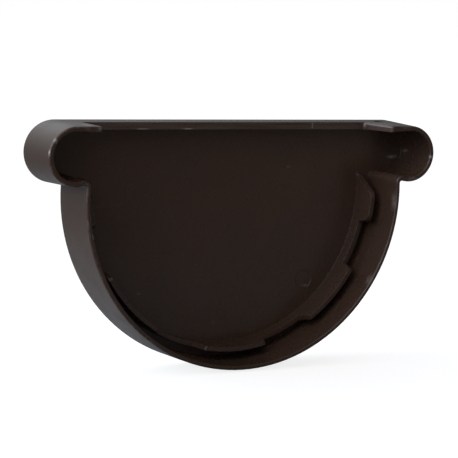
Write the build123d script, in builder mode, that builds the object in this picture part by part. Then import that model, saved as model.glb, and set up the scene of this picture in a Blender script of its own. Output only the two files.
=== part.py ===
from build123d import *
from math import radians, sin, cos, tan
import os

# End cap for a half-round rain gutter that has a round bead along each edge.
# It is moulded in one piece: a flat end plate, a half-round skirt, a round socket
# for each bead, a bar along the top edge and a castellated rib inside the skirt.
# X runs across the gutter, Z is up and Y runs along it. The open side faces -Y.
# The origin is on the gutter's axis, at the inner face of the end plate.

# Overall form in millimetres, with radii measured at the open rim
depth = 22.4
plate_thickness = 2.2
skirt_radius = 65.0
bead_x = 69.0
bead_z = 14.6
bead_radius = 10.6
skirt_wall = 1.6
bead_wall = 1.8
outer_draft = 1.9
inner_draft = 0.5

# Top wall: a bar in front of the plate, and a tongue at each end of the bar
bar_depth = 8.8
bar_underside_z = 22.9
left_tongue_root_x = -61.5
left_tongue_tip_x = -59.2
right_tongue_root_x = 55.8
right_tongue_tip_x = 60.2

# Rib: heights above the plate, and angles in degrees about the axis from +X
rib_radius = 59.8
rib_wall = 1.7
rib_draft = 0.6
lug_height = 10.8
low_height = 4.6
rib_end_angle = 4.8
right_upper_notch = (-13.1, -29.4)
right_lower_notch = (-57.8, -73.8)
left_lower_notch = (-103.2, -119.2)
left_upper_notch = (-150.6, -166.9)
upper_notch_slope = 12.0
lower_notch_slope = 20.0
upper_lug_round = 2.4
lower_lug_round = 0.6
end_ramp_run = 6.6
end_ramp_foot = 0.4
end_ramp_round = 4.0

# Marks left by the mould: the gate's recess on the top wall, a pin's mark on the plate
gate_x = 63.7
gate_setback = 7.0
gate_diameter = 4.2
gate_recess = 1.2
pin_mark_x = 35.7
pin_mark_z = -35.5
pin_mark_diameter = 7.0
pin_mark_recess = 0.15

# Rounding of corners and edges
outer_junction_round = 1.0
inner_junction_round = 2.6
tongue_root_round = 1.0
tongue_tip_round = 1.4
back_bevel = 0.4
inner_rim_round = 0.5
outer_rim_round = 0.8

back_y = plate_thickness
rim_y = plate_thickness - depth
bar_y = plate_thickness - bar_depth
widening = depth * tan(radians(outer_draft))
narrowing = -rim_y * tan(radians(inner_draft))


def drafted_block(deep_y, deep_skirt, deep_bead, rim_skirt, rim_bead, junction_round):
    """A half round with a round bead at each top corner, drafted from deep_y to the rim."""
    length = deep_y - rim_y
    standing = (Align.CENTER, Align.CENTER, Align.MIN)
    with BuildPart() as block:
        with Locations((0, deep_y, 0)):
            Cone(deep_skirt, rim_skirt, length, rotation=(90, 0, 0), align=standing)
        with Locations((0, deep_y, bead_z)):
            Box(3 * deep_skirt, 3 * length, 2 * deep_skirt, align=standing, mode=Mode.SUBTRACT)
        with BuildSketch(Plane.YZ):
            with BuildLine():
                Polyline(
                    (deep_y, bead_z),
                    (deep_y, bead_z + deep_bead),
                    (rim_y, bead_z + rim_bead),
                    (rim_y, bead_z),
                    close=True,
                )
            make_face()
        extrude(amount=bead_x, both=True)
        with Locations((-bead_x, deep_y, bead_z), (bead_x, deep_y, bead_z)):
            Cone(deep_bead, rim_bead, length, rotation=(90, 0, 0), align=standing)
        lengthwise = block.edges().filter_by(lambda edge: edge.bounding_box().size.Y > length / 2)
        fillet(lengthwise.filter_by_position(Axis.Z, bead_z / 5, bead_z * 4 / 5), junction_round)
    return block.part


def rib_plane(angle):
    """Plane on the rib's outer face, with X along the arc and Y up the lugs."""
    outward = (cos(radians(angle)), 0, sin(radians(angle)))
    along = (-sin(radians(angle)), 0, cos(radians(angle)))
    return Plane(origin=Vector(*outward) * rib_radius, x_dir=along, z_dir=outward)


# Rib: a drafted wall swept about the axis. Notches with sloping ends leave it low between
# its lugs, and a rounded ramp brings it down at each end, where it stops below the bead.
rib_spread = lug_height * tan(radians(rib_draft))
with BuildPart() as rib:
    with BuildSketch(Plane.XY.rotated((0, -rib_end_angle, 0))):
        with BuildLine():
            Polyline(
                (rib_radius + rib_spread, plate_thickness / 2),
                (rib_radius + rib_spread, 0),
                (rib_radius, -lug_height),
                (rib_radius - rib_wall, -lug_height),
                (rib_radius - rib_wall - rib_spread, 0),
                (rib_radius - rib_wall - rib_spread, plate_thickness / 2),
                close=True,
            )
        make_face()
    revolve(axis=Axis.Y, revolution_arc=180 + 2 * rib_end_angle)
    for notch, slope, corner_round in (
        (right_upper_notch, upper_notch_slope, upper_lug_round),
        (right_lower_notch, lower_notch_slope, lower_lug_round),
        (left_lower_notch, lower_notch_slope, lower_lug_round),
        (left_upper_notch, upper_notch_slope, upper_lug_round),
    ):
        half_width = rib_radius * radians(notch[0] - notch[1]) / 2
        slope_run = (lug_height - low_height) * tan(radians(slope))
        with BuildSketch(rib_plane(sum(notch) / 2)):
            with BuildLine():
                Polyline(
                    (-half_width, low_height),
                    (half_width, low_height),
                    (half_width + slope_run, lug_height),
                    (-half_width - slope_run, lug_height),
                    close=True,
                )
            make_face()
        extrude(amount=3 * rib_wall, both=True, mode=Mode.SUBTRACT)
        fillet(rib.edges(Select.LAST).filter_by(GeomType.LINE).group_by(Axis.Y)[0], corner_round)
    for angle, inward in ((rib_end_angle, -1), (-180 - rib_end_angle, 1)):
        with BuildSketch(rib_plane(angle)):
            with BuildLine():
                Polyline(
                    (0, end_ramp_foot),
                    (0, lug_height),
                    (inward * end_ramp_run, lug_height),
                    close=True,
                )
            make_face()
        extrude(amount=3 * rib_wall, both=True, mode=Mode.SUBTRACT)
        fillet(rib.edges(Select.LAST).filter_by(GeomType.LINE).group_by(Axis.Y)[0], end_ramp_round)

with BuildPart() as end_cap:
    # Outside and inside are drafted, so the walls are thicker at the plate than at the rim
    inner_skirt = skirt_radius - skirt_wall
    inner_bead = bead_radius - bead_wall
    add(
        drafted_block(
            back_y,
            skirt_radius + widening,
            bead_radius + widening,
            skirt_radius,
            bead_radius,
            outer_junction_round,
        )
    )
    add(
        drafted_block(
            0, inner_skirt - narrowing, inner_bead - narrowing, inner_skirt, inner_bead, inner_junction_round
        ),
        mode=Mode.SUBTRACT,
    )
    chamfer(end_cap.faces().sort_by(Axis.Y)[-1].edges(), back_bevel)

    # The top wall is thicker between the sockets, and its underside slopes up to meet them
    with BuildSketch(Plane.XZ.offset(-back_y / 2)):
        with BuildLine():
            Polyline(
                (-bead_x, bead_z + inner_bead),
                (left_tongue_tip_x, bar_underside_z),
                (right_tongue_tip_x, bar_underside_z),
                (bead_x, bead_z + inner_bead),
                (bead_x, bead_z + bead_radius),
                (-bead_x, bead_z + bead_radius),
                close=True,
            )
        make_face()
    extrude(amount=back_y / 2 - rim_y)
    fillet(end_cap.faces().sort_by(Axis.Y)[0].inner_wires()[0].edges(), inner_rim_round)

    # It is open in front of the bar from tongue to tongue, with rounded corners and edges
    with BuildSketch(Plane.XY.offset(bead_z)) as open_top:
        with BuildLine():
            Polyline(
                (left_tongue_root_x, bar_y),
                (right_tongue_root_x, bar_y),
                (right_tongue_tip_x, rim_y),
                (bead_x, rim_y),
                (bead_x, 2 * rim_y),
                (-bead_x, 2 * rim_y),
                (-bead_x, rim_y),
                (left_tongue_tip_x, rim_y),
                close=True,
            )
        make_face()
        fillet(open_top.vertices().group_by(Axis.Y)[-1], tongue_root_round)
        on_rim = open_top.vertices().group_by(Axis.Y)[1]
        fillet(on_rim.sort_by(Axis.X)[1:-1], tongue_tip_round)
    extrude(amount=2 * bead_radius, mode=Mode.SUBTRACT)
    fillet(end_cap.edges(Select.LAST).group_by(Axis.Z)[-1], outer_rim_round)

    add(rib.part)

    # Shallow recess of the gate on the sloping top wall, and a pin's mark on the plate
    gate_z = bead_z + bead_radius + widening * (depth - gate_setback) / depth
    with Locations((gate_x, back_y - gate_setback, gate_z)):
        Cylinder(gate_diameter / 2, 2 * gate_recess, mode=Mode.SUBTRACT)
    with Locations((pin_mark_x, 0, pin_mark_z)):
        Cylinder(pin_mark_diameter / 2, 2 * pin_mark_recess, rotation=(90, 0, 0), mode=Mode.SUBTRACT)

os.makedirs("parts", exist_ok=True)
end_cap.part.label = "end_cap"
export_step(end_cap.part, "parts/end_cap.step")
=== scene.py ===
import bpy
from math import radians
from mathutils import Euler, Matrix, Vector


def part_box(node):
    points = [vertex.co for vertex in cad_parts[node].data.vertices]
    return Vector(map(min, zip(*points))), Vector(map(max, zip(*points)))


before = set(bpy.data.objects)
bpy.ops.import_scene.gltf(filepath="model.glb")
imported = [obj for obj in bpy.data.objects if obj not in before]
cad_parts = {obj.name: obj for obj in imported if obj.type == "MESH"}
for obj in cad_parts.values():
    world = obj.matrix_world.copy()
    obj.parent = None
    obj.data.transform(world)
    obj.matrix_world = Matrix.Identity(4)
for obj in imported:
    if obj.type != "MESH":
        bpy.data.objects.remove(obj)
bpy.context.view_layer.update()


# The end cap: one injection moulding in chocolate brown plastic. It is glossy where the mould
# was polished, and finely streaked where the drafted walls slid out of it along Y. All of its
# shape is in the CAD solid, so this section gives it its finish and its wear.

end_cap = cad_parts["end_cap"]

# Sizes in millimetres, as in the cap's drawing
plate_y = 0.0
bar_y = -6.6
bar_underside_z = 22.9
lug_tops_y = -10.8
rim_y = -20.2
edge_round = 0.8
skirt_radius = 65.0
bead_radius = 10.6
bead_x = 69.0
bead_z = 14.6

# Colours of the plastic: the sound surface from one cloud to the next, a scuff, which on the rim
# is partly painted sheen, and the grey of scratches and of painted highlights
dark_brown = (0.0335, 0.02, 0.0132)
light_brown = (0.0405, 0.022, 0.0148)
scuff_and_rim_sheen_brown = (0.13, 0.115, 0.1)
scratch_and_highlight_grey = (0.34, 0.31, 0.28)

# Roughness of the polished surface, and in metres its relief and the softness of its corners
polish = 0.25
relief_depth = 0.00003
corner_softness = 0.0003


class Field:
    """A socket of a shader. Sums and products of values add Math nodes."""

    def __init__(self, socket):
        self.socket = socket

    def node(self, kind, settings, inputs, output=None):
        """Adds a node: its settings first, then the values or links of its sockets."""
        tree = self.socket.id_data
        made = tree.nodes.new(kind)
        for name, value in settings.items():
            if name == "stops":
                ramp = made.color_ramp.elements
                for position, colour in value:
                    ramp.new(position).color = (*colour, 1.0)
                # The ramp's own two stops are at its ends
                ramp.remove(ramp[0])
                ramp.remove(ramp[-1])
            else:
                setattr(made, name, value)
        for name, value in inputs.items():
            if isinstance(name, int):
                socket = made.inputs[name]
            else:
                socket = next(s for s in made.inputs if s.enabled and s.name == name)
            if isinstance(value, Field):
                tree.links.new(value.socket, socket)
            else:
                socket.default_value = value
        return Field(next(s for s in made.outputs if s.enabled and output in (None, s.name)))

    def math(self, operation, first, second):
        return self.node("ShaderNodeMath", {"operation": operation}, {0: first, 1: second})

    def __add__(self, other):
        return self.math("ADD", self, other)

    def __radd__(self, other):
        return self.math("ADD", other, self)

    def __sub__(self, other):
        return self.math("SUBTRACT", self, other)

    def __rsub__(self, other):
        return self.math("SUBTRACT", other, self)

    def __mul__(self, other):
        return self.math("MULTIPLY", self, other)

    def __rmul__(self, other):
        return self.math("MULTIPLY", other, self)

    def rising(self, start, end):
        """0 before start and 1 after end, eased in between. With end before start it falls."""
        return self.node(
            "ShaderNodeMapRange",
            {"interpolation_type": "SMOOTHSTEP"},
            {"Value": self, "From Min": start, "From Max": end},
        )

    def near(self, value, reach):
        """1 close to a value, and 0 from reach away on."""
        close = reach / 5
        return self.rising(value + reach, value + close) * self.rising(value - reach, value - close)

    def part(self, axis):
        """The X, Y or Z of this vector."""
        return self.node("ShaderNodeSeparateXYZ", {}, {"Vector": self}, axis)

    def combined(self, operation, *other):
        """This vector's X, Y and Z, each with that of another vector."""
        return self.node("ShaderNodeVectorMath", {"operation": operation}, {0: self, 1: other})

    def length(self):
        return self.node("ShaderNodeVectorMath", {"operation": "LENGTH"}, {0: self}, "Value")

    def noise(self, scale, detail, roughness):
        """Cloudy noise over this vector, about 0.5 on average."""
        return self.node(
            "ShaderNodeTexNoise",
            {},
            {"Vector": self, "Scale": scale, "Detail": detail, "Roughness": roughness},
            "Fac",
        )

    def spot(self, centre, size):
        """1 at the centre of an ellipsoid, and 0 from its surface on."""
        offset = self.combined("SUBTRACT", *centre).combined("DIVIDE", *size)
        return offset.length().rising(1.0, 0.0)

    def tinted(self, amount, colour):
        """This colour, moved towards another by amount."""
        return self.node(
            "ShaderNodeMix",
            {"data_type": "RGBA"},
            {"Factor": amount, "A": self, "B": (*colour, 1.0)},
        )


plastic = bpy.data.materials.new("brown_plastic")
plastic.use_nodes = True
plastic.node_tree.nodes.clear()
surface = Field(plastic.node_tree.nodes.new("ShaderNodeOutputMaterial").inputs["Surface"])

# Places on the cap in millimetres, and how far they lie outside the skirt or the nearer bead
place = surface.node("ShaderNodeTexCoord", {}, {}, "Object").combined("MULTIPLY", 1000, 1000, 1000)
x, y, z = (place.part(axis) for axis in "XYZ")
from_axis = place.combined("MULTIPLY", 1, 0, 1).length()
from_bead = surface.node(
    "ShaderNodeCombineXYZ",
    {},
    {"X": surface.math("ABSOLUTE", x, 0.0) - bead_x, "Z": z - bead_z},
).length()
outline = surface.math("MINIMUM", from_axis - skirt_radius, from_bead - bead_radius)

# Masks of the faces. One starts a little before its face, and is full just before it.
mask_start = -0.3
mask_full = -0.1
mask_reach = 0.25
on_plate = y.rising(plate_y + mask_start, plate_y + mask_full)
outside = outline.rising(mask_start, mask_full)
on_edge = (
    y.rising(rim_y + edge_round, rim_y + edge_round / 2)
    * outline.rising(-edge_round, -edge_round / 2)
)
on_lugs = y.near(lug_tops_y, mask_reach)
on_bar = y.near(bar_y, mask_reach) * z.rising(bar_underside_z - 0.4, bar_underside_z + 0.1)

# Flow and cooling leave soft clouds in the colour, and the grain of the mould a fine mottle
clouds = place.noise(scale=0.05, detail=3.0, roughness=0.5)
mottle = place.noise(scale=0.9, detail=3.0, roughness=0.6)
brown = place.node(
    "ShaderNodeValToRGB",
    {"stops": ((0.35, dark_brown), (0.65, light_brown))},
    {"Fac": clouds * 0.7 + mottle * 0.3},
    "Color",
)

# Streaks along Y from the mould on the walls, deeper outside, shallow ripples where the plastic
# shrank unevenly, and a fine grain on all of it
streaks = place.combined("MULTIPLY", 1, 0.05, 1).noise(scale=1.6, detail=3.0, roughness=0.65)
ripples = place.noise(scale=0.28, detail=2.0, roughness=0.5)
grain = place.noise(scale=3.0, detail=2.0, roughness=0.6)
relief = streaks * (1 - on_plate) * (0.35 + outside * 0.5) + ripples * 0.5 + grain * 0.15

# The gutter's edge and other caps in the box have scuffed the rim and the lugs, and rubbed the
# front of the bar lengthwise. Along the rim's rounded edge the paler scuffs are partly painted
# sheen
knocks = place.noise(scale=0.32, detail=4.0, roughness=0.7).rising(0.5, 0.62)
chips = place.noise(scale=1.3, detail=3.0, roughness=0.6).rising(0.45, 0.6)
rubbing = (
    place.combined("MULTIPLY", 0.04, 1, 1)
    .noise(scale=0.8, detail=3.0, roughness=0.6)
    .rising(0.35, 0.65)
)
scuffs_and_rim_sheen = on_edge * knocks * 0.25 + on_lugs * chips * 0.06 + on_bar * rubbing * 0.2
scuffed_and_rim_sheened = brown.tinted(scuffs_and_rim_sheen, scuff_and_rim_sheen_brown)

# Single marks and painted highlights, each with its centre, its size and its strength. The marks
# on the plate and on the bar are real; the rest are painted highlights and reflections
marks_and_highlights = sum(
    place.spot(centre, size) * strength
    for centre, size, strength in (
        # On the plate
        ((-34.2, 0, -38.3), (1.3, 1, 0.6), 0.25),
        ((-2.9, 0, -50.4), (0.7, 1, 1.3), 0.2),
        ((27.0, 0, 8.2), (1.2, 1, 0.6), 0.18),
        ((36.6, 0, -37.9), (2.8, 1, 0.7), 0.22),
        # Painted reflections in the right socket, and painted highlights on its rim
        ((73.5, -0.5, 11.6), (3.4, 2.0, 1.0), 0.8),
        ((77.0, -3.0, 14.2), (1.6, 3.0, 0.9), 0.7),
        ((78.2, -19.9, 13.4), (1.0, 1, 1.2), 0.8),
        ((70.6, -19.6, 5.2), (3.5, 2.0, 0.9), 0.3),
        # A scratch across the front of the bar, and two rubs along its lower edge
        ((32.9, -6.6, 24.4), (0.4, 1, 1.8), 0.9),
        ((-37.8, -6.6, 23.2), (3.4, 1, 0.35), 1.0),
        ((-19.8, -6.6, 23.2), (3.4, 1, 0.35), 0.9),
        # Painted glints on the rim of the left socket, and on the left rim below it
        ((-79.6, -19.8, 16.2), (0.8, 1, 1.7), 1.0),
        ((-77.4, -19.8, 20.2), (1.1, 1, 1.4), 1.0),
        ((-62.9, -20.0, -6.5), (0.7, 1, 2.6), 0.5),
        ((-62.0, -20.0, -13.2), (0.6, 1, 1.8), 1.0),
        ((-60.4, -20.0, -15.2), (0.6, 1, 1.6), 0.9),
        # Painted highlights on the right rim, and at the right end of the rib
        ((63.1, -19.0, -3.5), (1.2, 3.0, 5.0), 0.3),
        ((53.8, -19.0, -33.2), (2.6, 3.0, 3.8), 0.3),
        ((57.8, -0.8, 5.2), (1.2, 1.2, 1.2), 0.7),
        # Painted sheen on the tops of both tongues, and a painted glint at the right one's root
        ((-69.0, -11.0, 25.5), (9.0, 11.0, 1.6), 0.18),
        ((-63.5, -15.5, 25.2), (3.0, 5.0, 1.2), 0.5),
        ((-60.5, -19.2, 24.4), (2.5, 2.0, 1.2), 0.6),
        ((62.0, -13.0, 25.5), (6.5, 9.0, 1.6), 0.18),
        ((55.8, -7.2, 24.6), (0.5, 1.2, 1.0), 0.9),
    )
)
# The marks, and the painted highlights and reflections, lighten the plastic towards grey
marked_and_highlighted = scuffed_and_rim_sheened.tinted(marks_and_highlights * (0.4 + chips * 0.6), scratch_and_highlight_grey)

# Dull patches, streaks and scuffs are rougher than the polish
dull = place.noise(scale=0.12, detail=4.0, roughness=0.6).rising(0.4, 0.75)
gloss = polish + dull * 0.07 + streaks * outside * 0.12 + scuffs_and_rim_sheen * 0.2

# The mould leaves every corner very slightly soft, and knocks leave dents in the rim
soft_corners = surface.node("ShaderNodeBevel", {"samples": 4}, {"Radius": corner_softness})
bumps = surface.node(
    "ShaderNodeBump",
    {},
    {
        "Strength": 1.0,
        "Distance": relief_depth,
        "Height": relief + knocks * on_edge * 1.5,
        "Normal": soft_corners,
    },
    "Normal",
)
shader = surface.node(
    "ShaderNodeBsdfPrincipled",
    {},
    {"Base Color": marked_and_highlighted, "Roughness": gloss, "IOR": 1.42, "Normal": bumps},
    "BSDF",
)
plastic.node_tree.links.new(shader.socket, surface.socket)

end_cap.data.materials.clear()
end_cap.data.materials.append(plastic)


# The table: pale grey laminate, which ends a foot in front of the cap and runs on behind it as
# far as the camera sees. A strip of painted light on it, where light from behind falls, lights the
# underside of the cap from behind. What the camera sees of the table is as white as paper, and
# keeps the cap's shadow.

table_size = 6.0
table_front = -0.3
table_grey = 0.22
painted_light_strip_by = 0.19
paper_white = 0.83

floor_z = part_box("end_cap")[0][2]
table_centre = (0, table_front + table_size / 2, floor_z)
bpy.ops.mesh.primitive_plane_add(size=table_size, location=table_centre)
table = bpy.context.object
table.name = "table"
laminate = bpy.data.materials.new("grey_laminate")
laminate.use_nodes = True
laminate.node_tree.nodes.clear()
table_top = Field(laminate.node_tree.nodes.new("ShaderNodeOutputMaterial").inputs["Surface"])
behind = table_top.node("ShaderNodeNewGeometry", {}, {}, "Position").part("Y")
# Painted light: a lighter strip on the table just behind the cap, where light from behind falls
painted_light_strip = behind.rising(-0.01, 0.03) * behind.rising(0.2, 0.1)
seen = table_top.node("ShaderNodeLightPath", {}, {}, "Is Camera Ray")
sheet = table_top.node(
    "ShaderNodeBsdfPrincipled",
    {},
    {
        "Base Color": table_grey + painted_light_strip * painted_light_strip_by,
        "Roughness": 0.6,
        "Specular IOR Level": 0.0,
        "Emission Color": seen,
        "Emission Strength": paper_white,
    },
    "BSDF",
)
laminate.node_tree.links.new(sheet.socket, table_top.socket)
table.data.materials.append(laminate)


# The room: daylight from windows on the left and behind, softer lights above and on the right,
# and white where the camera looks past the table. Each light is a round patch of sky that fades
# out at about 45 degrees.

patch_sharpness = 10.0
white = (1.0, 1.0, 1.0)

room = bpy.data.worlds.new("room")
bpy.context.scene.world = room
room.use_nodes = True
room.node_tree.nodes.clear()
air = Field(room.node_tree.nodes.new("ShaderNodeOutputWorld").inputs["Surface"])
direction = air.node("ShaderNodeTexCoord", {}, {}, "Generated")
sky = (0.02, 0.02, 0.02)
for toward, colour in (
    # Windows on the left, and what they light above and below
    ((-0.91, 0.3, 0.29), (3.9, 4.6, 5.3)),
    ((-0.91, -0.3, 0.29), (1.9, 1.8, 2.05)),
    ((-0.69, 0.16, 0.71), (1.55, 1.6, 1.85)),
    ((-0.55, -0.44, 0.71), (1.27, 1.36, 1.42)),
    ((-0.56, -0.77, 0.29), (0.68, 0.7, 0.72)),
    ((-0.94, 0.0, -0.34), (0.97, 0.97, 1.0)),
    # Windows behind
    ((-0.31, 0.64, 0.71), (0.65, 0.7, 0.68)),
    ((0.1, 0.8, 0.59), (1.0, 1.06, 1.12)),
    # Ceiling in front, and pale things low on the right
    ((0.0, -0.5, 0.87), (0.5, 0.45, 0.38)),
    ((0.94, 0.0, -0.34), (1.4, 1.3, 1.2)),
    ((0.66, -0.66, -0.34), (0.5, 0.38, 0.32)),
):
    alignment = air.node(
        "ShaderNodeVectorMath", {"operation": "DOT_PRODUCT"}, {0: direction, 1: toward}, "Value"
    )
    patch = air.math("POWER", air.math("MAXIMUM", alignment, 0.0), patch_sharpness)
    sky = air.node(
        "ShaderNodeVectorMath", {"operation": "MULTIPLY_ADD"}, {0: patch, 1: colour, 2: sky}
    )
looked_at = air.node("ShaderNodeLightPath", {}, {}, "Is Camera Ray")
ambient = air.node(
    "ShaderNodeBackground",
    {},
    {"Color": sky.tinted(looked_at, white), "Strength": 1.0},
    "Background",
)
room.node_tree.links.new(ambient.socket, air.socket)


# The camera stands 71 cm away, to the left of the open side and a little above it, with a slight
# tilt. Lengths are in metres, angles in degrees, and the lens and its sensor in millimetres.

aim = Vector((0.003644, 0.0022, -0.015482))
azimuth = -28.192
elevation = 7.442
tilt = 2.261
distance = 0.71
facing = Euler((radians(90 - elevation), 0, radians(azimuth))).to_matrix()
facing = facing @ Matrix.Rotation(radians(tilt), 3, "Z")
camera_data = bpy.data.cameras.new("camera")
camera_data.sensor_width = 36
camera_data.lens = 147.96
camera = bpy.data.objects.new("camera", camera_data)
camera.matrix_world = Matrix.Translation(aim + facing @ Vector((0, 0, distance))) @ facing.to_4x4()
bpy.context.scene.collection.objects.link(camera)
bpy.context.scene.camera = camera
bpy.context.scene.view_settings.view_transform = "Standard"
